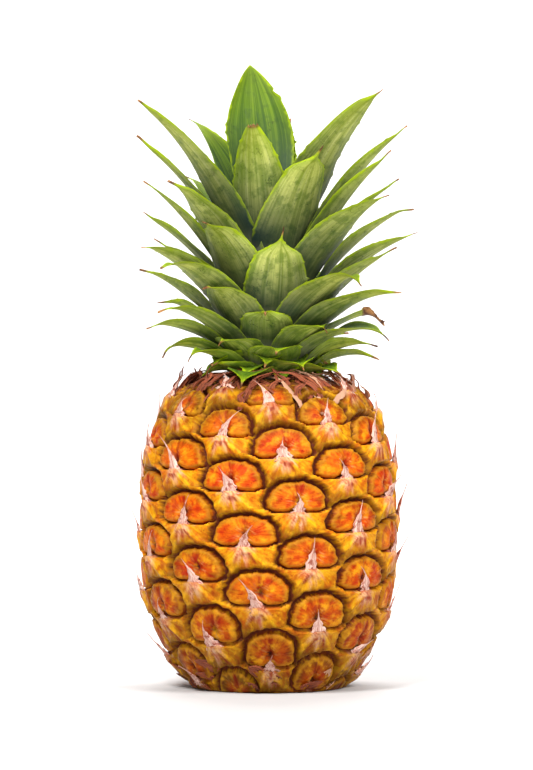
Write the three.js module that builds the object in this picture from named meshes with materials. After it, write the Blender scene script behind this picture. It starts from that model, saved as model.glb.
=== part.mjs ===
// A whole pineapple standing on its flat foot: the fruit, the cut stalk in its base, and the crown of
// leaves on the crown stem. Millimetres, +Z up. The origin is the centre of the foot, the front faces -Y,
// and every turn is in degrees from the front, positive towards +X.
import * as THREE from 'three';
import { mergeVertices } from 'three/addons/utils/BufferGeometryUtils.js';

const GAP = 0.3; // clear space between pieces that touch
const { degToRad, clamp, lerp, smoothstep, euclideanModulo } = THREE.MathUtils;

// The fruit. Its outline is radius and height halfway between the raised eyes and the grooves round them,
// from the edge of the top down to the edge of the foot.
const FRUIT_OUTLINE = [
  [33, 136.8], [38.5, 135.2], [43.5, 131], [48, 124.5], [51.5, 116.5], [54.4, 106.5], [56.2, 95], [57, 80],
  [57, 62], [56.2, 48], [54, 36.5], [50.6, 26.5], [46, 17.5], [40.5, 8.5], [36.5, 2.5], [34, 0],
];
const FIRST_ROW = -1; // rows are numbered from the top, one eye to a row
const LAST_ROW = 71;
const MIDDLE_ROW = 32;
const MIDDLE_ROW_ARC = 64.5; // distance along the outline from its top end to the middle row
const ROW_STEP = 1.85; // distance from row to row there, which grows towards both ends
const ROW_STEP_GROWTH = 0.0035; // times the square of the rows from the middle
const ROW_STEP_SKEW = 0.00015; // times their cube
const FIRST_EYE_TURN = -29;
const EYE_COLUMNS = 13; // every 13th eye stands almost under the first, in a column that leans a little
const COLUMN_LEAN = 6; // degrees to the right in 13 rows
const EYE_COLUMN_STEP = -5; // columns from each eye to the next one down, a turn of 138 degrees back
const RIGHT_NEIGHBOUR = 5; // rows down to the eye one column to the right
const HALF_WAY = 6; // rows by which a ring of the mesh may stand above or below its middle
const EYE_STEPS = 6; // mesh steps across one eye, and down one eye
const EYE_HALF_WIDTH = 0.49; // of a column
const EYE_HEIGHT = 0.56; // of 13 rows
const RIM_POWER = 2.3; // 2 would be an ellipse
const RIM_SHARE = 0.5; // how far in from the groove the disc is level
const BRACT_HALF_WIDTH = 0.34; // of a column
const BRACT_HEIGHT = 0.38; // of 13 rows
const GROOVE_DEPTH = 2.0;
const EYE_RISE = 1.4;
const BRACT_RISE = 2.2;
const FADE_ROWS = 5; // rows over which the relief dies out at each end
const TOP_HOLLOW = 135.5; // height of the top where the crown stem enters it

// The cut stalk, flush with the foot in a socket of the fruit.
const STALK_RADIUS = 12;
const STALK_HEIGHT = 13;
const STALK_SIDES = 20;

// The crown stem, in a shallow socket in the top of the fruit.
const CROWN_HEIGHT = 137; // where the crown starts
const STEM_SOCKET_DEPTH = 4.5;
const STEM_LENGTH = 65; // above the fruit
const STEM_BASE_RADIUS = 15;
const STEM_TIP_RADIUS = 5.5;
const STEM_POINT = 3; // height of the blunt point at its upper end
const STEM_SIDES = 24;

// The crown leaves, from the lowest to the highest. Each one starts on the stem at its turn and foot
// (height above the crown's start), and ends at its reach (distance from the axis) and top (height above
// the ground). Roll is how far its blade turns its outer face to the front, in degrees, and hook how far
// its tip bends down. A higher blunt value keeps it wide nearer to the tip.
const LEAVES = [
  { turn: -17, foot: 1, reach: 44, top: 136, width: 24, roll: 0, hook: 0, blunt: 2.4 },
  { turn: 52, foot: 1.6, reach: 42, top: 141, width: 22, roll: 0, hook: 40, blunt: 3 },
  { turn: -44, foot: 2.6, reach: 36, top: 146, width: 24, roll: 0, hook: 50, blunt: 3 },
  { turn: 25, foot: 3.4, reach: 37, top: 145, width: 24, roll: 0, hook: 50, blunt: 3 },
  { turn: -160, foot: 3.6, reach: 48, top: 147, width: 24, roll: 0, hook: 0, blunt: 2.2 },
  { turn: 96, foot: 4, reach: 51, top: 148, width: 20, roll: 10, hook: 0, blunt: 2.2 },
  { turn: -54, foot: 4.6, reach: 47, top: 151, width: 22, roll: 0, hook: 60, blunt: 2.2 },
  { turn: 82, foot: 6.4, reach: 50, top: 154, width: 20, roll: 16, hook: 0, blunt: 2.2 },
  { turn: -78, foot: 6.4, reach: 52, top: 152, width: 22, roll: 12, hook: 50, blunt: 2.2 },
  { turn: 8, foot: 6.6, reach: 36, top: 154, width: 26, roll: 0, hook: 60, blunt: 3.4 },
  { turn: 136, foot: 7, reach: 52, top: 158, width: 24, roll: 0, hook: 0, blunt: 2.2 },
  { turn: -36, foot: 8.2, reach: 38, top: 159, width: 26, roll: 0, hook: 60, blunt: 3.2 },
  { turn: 60, foot: 9, reach: 64, top: 159, width: 24, roll: -8, hook: 40, blunt: 2.2 },
  { turn: -82, foot: 9.6, reach: 56, top: 163, width: 23, roll: 12, hook: 0, blunt: 2.2 },
  { turn: 40, foot: 10.6, reach: 43, top: 165, width: 28, roll: 0, hook: 70, blunt: 3.4 },
  { turn: 172, foot: 11.4, reach: 54, top: 170, width: 26, roll: 0, hook: 0, blunt: 2.2 },
  { turn: 100, foot: 11.8, reach: 54, top: 169, width: 20, roll: 8, hook: 0, blunt: 2.2 },
  { turn: -60, foot: 12, reach: 57, top: 172, width: 28, roll: 0, hook: 40, blunt: 2.2 },
  { turn: 57, foot: 13.3, reach: 70, top: 177, width: 30, roll: 4, hook: 0, blunt: 2.2 },
  { turn: -104, foot: 13.4, reach: 52, top: 176, width: 20, roll: 18, hook: 20, blunt: 2.2 },
  { turn: -3, foot: 14.7, reach: 32, top: 174, width: 26, roll: -4, hook: 110, blunt: 4 },
  { turn: -97, foot: 15.9, reach: 59, top: 189, width: 24, roll: 18, hook: 0, blunt: 2.2 },
  { turn: -164, foot: 16.4, reach: 56, top: 184, width: 28, roll: 0, hook: 0, blunt: 2.2 },
  { turn: 42, foot: 17, reach: 62, top: 188, width: 33, roll: 0, hook: 50, blunt: 3 },
  { turn: -40, foot: 17.7, reach: 42, top: 184, width: 30, roll: 4, hook: 70, blunt: 3.2 },
  { turn: 134, foot: 19, reach: 60, top: 194, width: 26, roll: 0, hook: 0, blunt: 2.2 },
  { turn: 76, foot: 20, reach: 60, top: 197, width: 20, roll: 16, hook: 0, blunt: 2.2 },
  { turn: -53, foot: 20.2, reach: 60, top: 194, width: 32, roll: 6, hook: 50, blunt: 2.2 },
  { turn: -66, foot: 22.4, reach: 63, top: 199, width: 26, roll: 12, hook: 0, blunt: 2 },
  { turn: 88, foot: 22.6, reach: 68, top: 204, width: 24, roll: 18, hook: 0, blunt: 2.2 },
  { turn: 9, foot: 23.4, reach: 34, top: 207, width: 31, roll: 0, hook: 0, blunt: 4 },
  { turn: 160, foot: 24, reach: 56, top: 206, width: 28, roll: 0, hook: 0, blunt: 2.2 },
  { turn: -82, foot: 25, reach: 53, top: 201, width: 23, roll: 18, hook: 0, blunt: 2.2 },
  { turn: 100, foot: 27, reach: 67, top: 217, width: 22, roll: 20, hook: 0, blunt: 2.2 },
  { turn: -97, foot: 27.8, reach: 58, top: 213, width: 24, roll: 12, hook: 0, blunt: 2.2 },
  { turn: 133, foot: 29.4, reach: 54, top: 217, width: 24, roll: 0, hook: 0, blunt: 2.2 },
  { turn: -38, foot: 29.6, reach: 46, top: 212, width: 33, roll: 0, hook: 40, blunt: 3.4 },
  { turn: -150, foot: 30.2, reach: 58, top: 214, width: 28, roll: 0, hook: 0, blunt: 2.2 },
  { turn: 55, foot: 31.4, reach: 66, top: 221, width: 33, roll: 8, hook: 0, blunt: 2 },
  { turn: -83, foot: 32, reach: 57, top: 228, width: 21, roll: 4, hook: 0, blunt: 2.2 },
  { turn: 92, foot: 34.4, reach: 60, top: 228, width: 18, roll: 10, hook: 0, blunt: 2.2 },
  { turn: -54, foot: 35.5, reach: 54.5, top: 228, width: 30, roll: 6, hook: 0, blunt: 2.4 },
  { turn: 68, foot: 37, reach: 60, top: 240, width: 25, roll: 2, hook: 0, blunt: 2.2 },
  { turn: -138, foot: 37.6, reach: 56, top: 232, width: 28, roll: 0, hook: 0, blunt: 2.2 },
  { turn: 82, foot: 40.2, reach: 64, top: 252, width: 25, roll: 12, hook: 0, blunt: 1.8 },
  { turn: -86, foot: 40.6, reach: 61, top: 247, width: 24, roll: 6, hook: 0, blunt: 1.9 },
  { turn: 178, foot: 41, reach: 46, top: 240, width: 30, roll: 0, hook: 0, blunt: 2.2 },
  { turn: -56, foot: 43.6, reach: 71, top: 262, width: 31, roll: -2, hook: 0, blunt: 1.9 },
  { turn: 35, foot: 45.6, reach: 41, top: 243, width: 37, roll: -4, hook: 0, blunt: 3.6 },
  { turn: 152, foot: 46.8, reach: 52, top: 240, width: 29.5, roll: 0, hook: 0, blunt: 2.2 },
  { turn: 52, foot: 49.4, reach: 65, top: 267, width: 35, roll: 8, hook: 0, blunt: 2.2 },
  { turn: 137, foot: 53, reach: 42, top: 243, width: 26, roll: 0, hook: 0, blunt: 2.4 },
  { turn: -16, foot: 53.6, reach: 28, top: 254.5, width: 28, roll: 0, hook: 0, blunt: 4.5 },
  { turn: -128, foot: 55.4, reach: 46, top: 258, width: 32, roll: 0, hook: 0, blunt: 2.4 },
  { turn: 160, foot: 58.8, reach: 31, top: 258, width: 22, roll: 0, hook: 0, blunt: 2.4 },
  { turn: -162, foot: 63, reach: 27, top: 281.5, width: 37, roll: 0, hook: 0, blunt: 5 },
];
const LOWEST_RISE = 22; // angle above level at which a leaf leaves the stem, at the stem's two ends
const HIGHEST_RISE = 82;
const LEAF_BASE_THICKNESS = 1.4; // along the middle of a leaf, thinning to its edges and tip
const LEAF_TIP_THICKNESS = 0.8;
const LEAF_PULL = 0.58; // how far along its length a leaf keeps to its rise angle
const LEAF_BASE_WIDTH = 0.8; // of its full width
const LEAF_WIDEST = 0.42; // of its length
const LEAF_TAPER_POWER = 0.8; // below 1 rounds the sides of the tip
const LEAF_WRAP = 1.2; // most that a half may reach round the stem, as a share of its distance from the axis
const LEAF_CHANNEL = 32; // how far each half turns up from the middle, in degrees
const LEAST_CLASP = 0.2; // of the curve of the stem, however level the leaf starts
const CLASP_END = 0.35; // of its length, where the curve round the stem has gone over to the channel
const ROLL_START = 0.1; // of its length
const ROLL_END = 0.55;
const HOOK_START = 0.72; // of its length
const SPINE_STEPS = 40;
const PLAIN_STATIONS = [0, 0.12, 0.26, 0.42, 0.58, 0.74, 0.88, 0.96];
const HOOKED_STATIONS = [0, 0.14, 0.3, 0.48, 0.62, 0.73, 0.81, 0.88, 0.94, 0.98];
const OUTER_SHARES = [-1, -0.5, 0, 0.5]; // points of a cross section, as shares of its half width
const INNER_SHARES = [1, 0.5, 0, -0.5];
const SECTION_POINTS = OUTER_SHARES.length + INNER_SHARES.length;
// The six faces that close a leaf at the stem.
const BASE_FACES = [[0, 7, 1], [7, 6, 1], [1, 6, 2], [6, 5, 2], [2, 5, 3], [3, 5, 4]];

function around(radius, height, turn) {
  return [radius * Math.sin(turn), -radius * Math.cos(turn), height];
}

function ringSolid(rings, firstPoint, lastPoint) {
  // Rings of equal size joined in order, with each end closed by a single point. Each four-sided gap
  // between two rings is split along its shorter diagonal.
  const size = rings[0].length;
  const points = [firstPoint, ...rings.flat(), lastPoint];
  const last = points.length - 1;
  const index = [];
  const at = (ring, k) => 1 + ring * size + (k % size);
  const apart = (a, b) => Math.hypot(...points[a].map((value, axis) => value - points[b][axis]));
  for (let k = 0; k < size; k++) {
    index.push(0, at(0, k), at(0, k + 1), last, at(rings.length - 1, k + 1), at(rings.length - 1, k));
    for (let ring = 0; ring + 1 < rings.length; ring++) {
      const [a, b, c, d] = [at(ring, k), at(ring, k + 1), at(ring + 1, k + 1), at(ring + 1, k)];
      if (apart(a, c) < apart(b, d)) index.push(a, c, b, a, d, c);
      else index.push(a, d, b, b, d, c);
    }
  }
  return withoutCollapsedFaces(solidFrom(points, index));
}

function withoutCollapsedFaces(geometry) {
  // Points in the same place become one, and the faces that lose a side by it are left out.
  geometry.deleteAttribute('normal');
  const merged = mergeVertices(geometry);
  const corners = [...merged.index.array];
  const kept = [];
  while (corners.length > 0) {
    const face = corners.splice(-3);
    if (new Set(face).size === 3) kept.push(...face);
  }
  merged.setIndex(kept);
  merged.computeVertexNormals();
  return merged;
}

function solidFrom(points, index) {
  const geometry = new THREE.BufferGeometry();
  geometry.setAttribute('position', new THREE.Float32BufferAttribute(points.flat(), 3));
  geometry.setIndex(index);
  geometry.computeVertexNormals();
  return geometry;
}

function named(name, geometry, color, roughness) {
  const mesh = new THREE.Mesh(geometry, new THREE.MeshStandardMaterial({ color, roughness, metalness: 0 }));
  mesh.name = name;
  return mesh;
}

function rowArc(row) {
  // Distance of a row along the outline, from its top end.
  const m = row - MIDDLE_ROW;
  return MIDDLE_ROW_ARC + ROW_STEP * m + ROW_STEP_GROWTH * m ** 2 + ROW_STEP_SKEW * m ** 3;
}

function discRise(across, down) {
  // An eye's flat disc, a rounded oblong above its bract with a steep rim.
  const half = EYE_HEIGHT / 2;
  const rim = Math.abs(across / EYE_HALF_WIDTH) ** RIM_POWER + Math.abs((down + half) / half) ** RIM_POWER;
  return lerp(-GROOVE_DEPTH, EYE_RISE, smoothstep(1 - rim, 0, RIM_SHARE));
}

function bractRise(across, down) {
  // The bract under the disc, a ridge highest where its point leaves the skin.
  if (down < 0) return -GROOVE_DEPTH;
  const ridge = Math.exp(-((across / BRACT_HALF_WIDTH) ** 2)) * clamp(1 - down / BRACT_HEIGHT, 0, 1);
  return lerp(-GROOVE_DEPTH, BRACT_RISE, ridge);
}

function fruitRelief(row, column) {
  // The highest of the eyes near a place: across in columns and down in units of 13 rows, from each eye's
  // own point, where its bract meets its disc.
  let height = -GROOVE_DEPTH;
  for (let eye = Math.ceil(row) - EYE_COLUMNS; eye <= row + EYE_COLUMNS; eye++) {
    const away = column - EYE_COLUMN_STEP * eye;
    const across = away - EYE_COLUMNS * Math.round(away / EYE_COLUMNS);
    const down = (row - eye) / EYE_COLUMNS;
    height = Math.max(height, discRise(across, down), bractRise(across, down));
  }
  const fade = smoothstep(row, FIRST_ROW, FIRST_ROW + FADE_ROWS) * smoothstep(LAST_ROW - row, 0, FADE_ROWS);
  return height * fade;
}

function eyeRow(ring, column) {
  // A ring of the mesh steps down by five rows or up by eight from column to column, so that every eye is
  // met at the same points. The two ends of the fruit cut it off.
  const shift = (whole) => euclideanModulo(RIGHT_NEIGHBOUR * whole + HALF_WAY, EYE_COLUMNS) - HALF_WAY;
  const whole = Math.floor(column);
  const row = ring * EYE_COLUMNS / EYE_STEPS + lerp(shift(whole), shift(whole + 1), column - whole);
  return clamp(row, FIRST_ROW, LAST_ROW);
}

function fruitRing(placeAt) {
  // One ring of points round the fruit, from the row, radius and height found for each column.
  return Array.from({ length: EYE_COLUMNS * EYE_STEPS }, (_, k) => {
    const column = k / EYE_STEPS;
    const { row, radius, height } = placeAt(column);
    const turn = FIRST_EYE_TURN + (360 * column + COLUMN_LEAN * row) / EYE_COLUMNS;
    return around(radius, height, degToRad(turn));
  });
}

function makeFruit() {
  const outline = new THREE.SplineCurve(FRUIT_OUTLINE.map((point) => new THREE.Vector2(...point)));
  outline.arcLengthDivisions = 1000;
  const length = outline.getLength();
  const skinRing = (number) => fruitRing((column) => {
    const row = eyeRow(number, column);
    const along = clamp(rowArc(row) / length, 0, 1);
    const place = outline.getPointAt(along);
    const run = outline.getTangentAt(along);
    const lift = fruitRelief(row, column);
    return { row, radius: place.x - run.y * lift, height: place.y + run.x * lift };
  });
  const plainRing = (row, radius, height) => fruitRing(() => ({ row, radius, height }));
  const stalkSocket = STALK_RADIUS + GAP;
  const stemSocket = STEM_BASE_RADIUS + GAP;
  const socketFloor = CROWN_HEIGHT - STEM_SOCKET_DEPTH - GAP;
  const rings = [
    plainRing(FIRST_ROW, stemSocket, socketFloor),
    plainRing(FIRST_ROW, stemSocket, TOP_HOLLOW),
  ];
  const firstRing = Math.floor((FIRST_ROW - HALF_WAY) * EYE_STEPS / EYE_COLUMNS);
  const lastRing = Math.ceil((LAST_ROW + HALF_WAY) * EYE_STEPS / EYE_COLUMNS);
  for (let number = firstRing; number <= lastRing; number++) rings.push(skinRing(number));
  rings.push(plainRing(LAST_ROW, ...FRUIT_OUTLINE.at(-1)));
  rings.push(plainRing(LAST_ROW, stalkSocket, 0));
  rings.push(plainRing(LAST_ROW, stalkSocket, STALK_HEIGHT + GAP));
  return ringSolid(rings, [0, 0, socketFloor], [0, 0, STALK_HEIGHT + GAP]);
}

function turned(profile, sides) {
  // A solid of revolution about the vertical axis, from radius and height points.
  const geometry = new THREE.LatheGeometry(profile.map((point) => new THREE.Vector2(...point)), sides);
  return geometry.rotateX(Math.PI / 2);
}

function stemRadius(foot) {
  return lerp(STEM_BASE_RADIUS, STEM_TIP_RADIUS, clamp(foot / STEM_LENGTH, 0, 1));
}

function leafSpine(leaf) {
  // Middle line of a leaf in its own upright plane: radius, height and slope at equal steps of its length.
  const start = new THREE.Vector2(
    stemRadius(leaf.foot) + GAP + LEAF_BASE_THICKNESS / 2,
    CROWN_HEIGHT + leaf.foot,
  );
  const end = new THREE.Vector2(leaf.reach, leaf.top);
  const rise = degToRad(lerp(LOWEST_RISE, HIGHEST_RISE, Math.sqrt(leaf.foot / STEM_LENGTH)));
  const middle = new THREE.Vector2(Math.cos(rise), Math.sin(rise))
    .multiplyScalar(LEAF_PULL * start.distanceTo(end))
    .add(start);
  const curve = new THREE.QuadraticBezierCurve(start, middle, end);
  const step = curve.getLength() / SPINE_STEPS;
  const spine = [];
  const place = start.clone();
  for (let k = 0; k <= SPINE_STEPS; k++) {
    const along = k / SPINE_STEPS;
    const run = curve.getTangentAt(along);
    const hook = degToRad(leaf.hook) * clamp((along - HOOK_START) / (1 - HOOK_START), 0, 1);
    const slope = Math.atan2(run.y, run.x) - hook;
    spine.push({ radius: place.x, height: place.y, slope });
    place.add(new THREE.Vector2(Math.cos(slope), Math.sin(slope)).multiplyScalar(step));
  }
  return spine;
}

function leafHalfWidth(leaf, along) {
  const swell = Math.sin((Math.PI / 2) * clamp(along / LEAF_WIDEST, 0, 2));
  return 0.5 * leaf.width * lerp(LEAF_BASE_WIDTH, 1, swell) * (1 - along ** leaf.blunt) ** LEAF_TAPER_POWER;
}

function leafRing(leaf, spine, along) {
  // One cross section: outer face from edge to edge, then the inner face back, thin at both edges.
  const { radius, height, slope } = spine[Math.round(along * SPINE_STEPS)];
  const half = Math.min(leafHalfWidth(leaf, along), LEAF_WRAP * radius);
  const channel = degToRad(LEAF_CHANNEL) / half;
  const clasp = Math.max(Math.sin(slope), LEAST_CLASP) / radius;
  const curving = lerp(clasp, channel, clamp(along / CLASP_END, 0, 1));
  const thickness = lerp(LEAF_BASE_THICKNESS, LEAF_TIP_THICKNESS, along);
  const turn = degToRad(leaf.turn);
  const roll = -degToRad(leaf.roll) * Math.sign(turn) * smoothstep(along, ROLL_START, ROLL_END);
  const run = new THREE.Vector3(...around(Math.cos(slope), Math.sin(slope), turn));
  const across = new THREE.Vector3(Math.cos(turn), Math.sin(turn), 0).applyAxisAngle(run, roll);
  const inward = new THREE.Vector3().crossVectors(run, across);
  const centre = new THREE.Vector3(...around(radius, height, turn));
  const pointAt = (share, side) => {
    const bend = share * half * curving;
    const lift = (1 - Math.cos(bend)) / curving + side * 0.5 * thickness * (1 - share ** 2);
    const point = centre.clone().addScaledVector(across, Math.sin(bend) / curving);
    return point.addScaledVector(inward, lift).toArray();
  };
  return [
    ...OUTER_SHARES.map((share) => pointAt(share, -1)),
    ...INNER_SHARES.map((share) => pointAt(share, 1)),
  ];
}

function fromTheTop(points, faces) {
  // Faces put in order of height, the highest first.
  const height = (face) => face.reduce((total, corner) => total + points[corner][2], 0);
  return [...faces].sort((a, b) => height(b) - height(a));
}

function makeLeaf(leaf) {
  const spine = leafSpine(leaf);
  const stations = leaf.hook > 0 ? HOOKED_STATIONS : PLAIN_STATIONS;
  const rings = stations.map((along) => leafRing(leaf, spine, along));
  const tip = spine[SPINE_STEPS];
  const points = [...rings.flat(), around(tip.radius, tip.height, degToRad(leaf.turn))];
  const last = (rings.length - 1) * SECTION_POINTS;
  const faces = [...BASE_FACES];
  for (let k = 0; k < SECTION_POINTS; k++) {
    const next = (k + 1) % SECTION_POINTS;
    faces.push([last + k, last + next, last + SECTION_POINTS]);
    for (let start = 0; start < last; start += SECTION_POINTS) {
      const above = start + SECTION_POINTS;
      faces.push([start + k, start + next, above + next], [start + k, above + next, above + k]);
    }
  }
  return solidFrom(points, fromTheTop(points, faces).flat());
}

const pineapple = new THREE.Group();
pineapple.add(named('fruit', makeFruit(), 0xc9821f, 0.55));
pineapple.add(named('stalk_stub', turned([
  [0, 0],
  [STALK_RADIUS, 0],
  [STALK_RADIUS, STALK_HEIGHT],
  [0, STALK_HEIGHT],
], STALK_SIDES), 0xb59a68, 0.85));
pineapple.add(named('crown_stem', turned([
  [0, CROWN_HEIGHT - STEM_SOCKET_DEPTH],
  [STEM_BASE_RADIUS, CROWN_HEIGHT - STEM_SOCKET_DEPTH],
  [STEM_BASE_RADIUS, CROWN_HEIGHT],
  [STEM_TIP_RADIUS, CROWN_HEIGHT + STEM_LENGTH],
  [0, CROWN_HEIGHT + STEM_LENGTH + STEM_POINT],
], STEM_SIDES), 0xa9b070, 0.7));
LEAVES.forEach((leaf, k) => {
  const name = `crown_leaf_${String(k + 1).padStart(2, '0')}`;
  pineapple.add(named(name, makeLeaf(leaf), 0x7f9148, 0.6));
});

export default pineapple;
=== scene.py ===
import math

import bmesh
import bpy
import numpy as np
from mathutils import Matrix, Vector
from mathutils.bvhtree import BVHTree


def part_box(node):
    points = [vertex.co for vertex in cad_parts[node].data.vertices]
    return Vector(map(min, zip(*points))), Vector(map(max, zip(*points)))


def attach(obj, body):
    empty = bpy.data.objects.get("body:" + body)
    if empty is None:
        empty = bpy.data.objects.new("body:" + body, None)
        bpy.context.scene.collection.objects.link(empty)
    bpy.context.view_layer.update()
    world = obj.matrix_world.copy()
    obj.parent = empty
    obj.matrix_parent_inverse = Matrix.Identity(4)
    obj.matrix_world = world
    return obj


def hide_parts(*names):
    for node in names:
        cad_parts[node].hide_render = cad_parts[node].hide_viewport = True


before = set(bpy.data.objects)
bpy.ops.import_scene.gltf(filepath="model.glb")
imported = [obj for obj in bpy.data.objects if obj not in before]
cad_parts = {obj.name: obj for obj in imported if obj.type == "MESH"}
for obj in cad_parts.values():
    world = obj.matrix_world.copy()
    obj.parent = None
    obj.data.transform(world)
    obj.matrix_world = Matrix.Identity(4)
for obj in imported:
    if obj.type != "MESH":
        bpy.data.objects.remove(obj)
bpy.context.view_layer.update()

bpy.context.scene.view_settings.view_transform = "Standard"


# The fruit: rind, flesh and core grown as one piece, a barrel of about seventy eyes set in a spiral.
# Each eye is a flat disc in a dark crevice, over a pointed bract with a ridge out to each lower corner.
# One skin of fine mesh follows the spiral, with the crevices, discs and bracts raised out of it.
MM = 0.001
WHOLE_TURN = 6.283

# the spiral: each eye is one row lower than the last, and five columns back round the fruit
EYE_COLUMNS = 13
COLUMNS_BACK = 5
FIRST_ROW, LAST_ROW = -1, 71      # of the skin
FIRST_EYE, EYES_DRAWN = -16, 104  # eyes past both ends of the skin reach on to it
EYE_REACH = 16                    # rows
ROW_STEPS, COLUMN_STEPS = 3, 33   # of the mesh
FIRST_TURN, ROW_TWIST = -29, 6    # degrees, and degrees in thirteen rows

# one eye, in millimetres where the fruit is widest: x right of its bract's point and y above it
COLUMN_WIDTH, EYE_HEIGHT = 27.0, 26.0
COLUMN_LEAN = 5.85
CREVICE = -2.8                    # its floor, from the fruit's plain side
DISC_HALF, DISC_LIMIT = 14.9, 17
DISC_MIDDLE = 3.0
DISC_UP, DISC_DOWN = 11.9, 40.0
DISC_SQUARE = 2.3                 # 2 would make an ellipse of it, and more squares it off
BRACT_LIMIT = 21
OUTSIDE = -9.0


def smooth(value, low, high):
    share = np.clip((value - low) / (high - low), 0, 1)
    return share * share * (3 - 2 * share)


def mix(a, b, share):
    share = np.asarray(share)[..., None]
    return np.asarray(a) * (1 - share) + np.asarray(b) * share


def bell(value, width):
    return np.exp(-((value / width) ** 2))


def unit(ways):
    return ways / np.linalg.norm(ways, axis=-1, keepdims=True)


def barrel_outline(top_pitch=63.6, foot_pitch=-62.9, steps=90):
    """Radius and height of the fruit's side, from the edge of its top to the edge of its foot."""
    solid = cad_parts["fruit"].data
    tree = BVHTree.FromPolygons([v.co for v in solid.vertices], [p.vertices[:] for p in solid.polygons])
    low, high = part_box("fruit")
    middle = (low.z + high.z) / 2
    outline = []
    for pitch in np.radians(np.linspace(top_pitch, foot_pitch, steps)):
        level = math.cos(pitch)
        reach = []
        for turn in np.radians(np.arange(0, 360, 5)):
            way = Vector((level * math.sin(turn), -level * math.cos(turn), math.sin(pitch)))
            reach.append(tree.ray_cast(Vector((0, 0, middle)), way)[3])
        far = float(np.mean(reach))
        outline.append((far * level, middle + far * math.sin(pitch)))
    outline = np.array(outline)
    for _ in range(6):
        outline[1:-1] = (outline[:-2] + 2 * outline[1:-1] + outline[2:]) / 4
    return outline


outline = barrel_outline()
outline_arc = np.concatenate([[0], np.cumsum(np.hypot(*np.diff(outline, axis=0).T))])
outline_run = unit(np.gradient(outline, outline_arc, axis=0))


def side_of_fruit(row):
    """Radius, height and downward direction of the fruit's side at a row of eyes.

    The rows are closest at the fruit's middle, row 32, and spread towards both of its ends.
    """
    m = np.asarray(row, float) - 32
    arc = (64.5 + 1.85 * m + 0.0035 * m**2 + 0.00015 * m**3) * MM
    return [np.interp(arc, outline_arc, values) for values in (*outline.T, *outline_run.T)]


def turn_of(row, column):
    return np.radians(FIRST_TURN + (360 * column + ROW_TWIST * row) / EYE_COLUMNS)


# twelve chance numbers for each eye, and the phases of its disc's and bract's ripples
eye_numbers = np.arange(FIRST_EYE, FIRST_EYE + EYES_DRAWN)
eye_chance = np.random.default_rng(41).random((len(eye_numbers), 12))
eye_waves = np.random.default_rng(12).random((len(eye_numbers), 2, 9))

rows = np.linspace(FIRST_ROW, LAST_ROW, ROW_STEPS * (LAST_ROW - FIRST_ROW) + 1)
columns = np.arange(EYE_COLUMNS * COLUMN_STEPS) / COLUMN_STEPS
grid = (len(rows), len(columns))


def in_eye(eye, row_part):
    """Each grid point's place in an eye: millimetres right of its bract's point and above it."""
    away = columns + COLUMNS_BACK * eye
    across = away - EYE_COLUMNS * np.round(away / EYE_COLUMNS)
    down = (row_part[:, None] - eye) / EYE_COLUMNS
    return COLUMN_WIDTH * across + COLUMN_LEAN * down, -EYE_HEIGHT * down


def waves(eye, angle, kind, first):
    """Uneven ripples round an eye, between about -1 and 1, the same on every run."""
    total = 0
    for j, phase in enumerate(eye_waves[eye - FIRST_EYE, kind]):
        total += math.sqrt(1 / (1 + j)) * np.sin(round(first + 2.3 * j) * angle + WHOLE_TURN * phase)
    return total / 2.2


def lip_of(x):
    """Height of the bract's top edge, which dips each side of its point and rises to the wings."""
    return -1.3 * smooth(np.abs(x), 0.8, 5.0) + 2.2 * smooth(np.abs(x), 9.0, 16.0)


def disc_depth(eye, x, y):
    """Millimetres inside a disc's outline, and the ring: 0 at the disc's middle and 1 at its outline."""
    chance = eye_chance[eye - FIRST_EYE]
    half = DISC_HALF * (0.95 + 0.08 * chance[0])
    up = y - DISC_MIDDLE
    tall = np.where(up > 0, DISC_UP * (0.94 + 0.1 * chance[1]), DISC_DOWN)
    ring = ((np.abs(x) / half) ** DISC_SQUARE + (np.abs(up) / tall) ** DISC_SQUARE) ** (1 / DISC_SQUARE)
    ring *= (1 + 0.033 * waves(eye, np.arctan2(up, x), 0, 7))
    depth = np.minimum((1 - ring) * 13, y - lip_of(x))
    return np.where(np.abs(x) < DISC_LIMIT, depth, OUTSIDE), ring


def eye_windows():
    """Each eye with the part of the grid that it reaches, and that part's places in it."""
    for eye in eye_numbers:
        near = np.flatnonzero(np.abs(rows - eye) < EYE_REACH)
        if len(near):
            part = slice(near[0], near[-1] + 1)
            yield eye, part, *in_eye(eye, rows[part])


# which disc and which bract each grid point is nearest, with its place in them
FAR = 9.0
field = {name: np.zeros(grid) for name in ("disc_x", "disc_y", "ring", "bract_x", "bract_y")}
field["disc"] = np.full(grid, OUTSIDE)
field["edge"] = np.full(grid, OUTSIDE)
field["metric"] = np.full(grid, FAR)
field["disc_eye"] = np.zeros(grid, int)
field["bract_eye"] = np.full(grid, FIRST_EYE - 1)


def keep(part, better, **found):
    """Keeps what an eye has found wherever it is better than what is held there."""
    for name, value in found.items():
        field[name][part] = np.where(better, value, field[name][part])


for eye, part, x, y in eye_windows():
    depth, ring = disc_depth(eye, x, y)
    keep(part, depth > field["disc"][part], disc=depth, ring=ring, disc_x=x, disc_y=y, disc_eye=eye)
    under_lip = (y < lip_of(x)) & (np.abs(x) < BRACT_LIMIT)
    metric = np.abs(x) / 16 + np.maximum(-y, 0) / 14 + np.where(under_lip, 0, FAR)
    keep(part, metric < field["metric"][part], metric=metric, bract_x=x, bract_y=y, bract_eye=eye)

disc_eye, bract_eye = field["disc_eye"], field["bract_eye"]
for eye, part, x, y in eye_windows():
    depth = np.where(bract_eye[part] == eye, OUTSIDE, disc_depth(eye, x, y)[0])
    field["edge"][part] = np.maximum(field["edge"][part], depth)

is_disc = field["disc"] > 0
in_bract = field["metric"] < FAR - 1


def chance_of(eyes, which):
    """One of the chance numbers of each grid point's eye."""
    return eye_chance[np.clip(eyes - FIRST_EYE, 0, EYES_DRAWN - 1), which]


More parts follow.
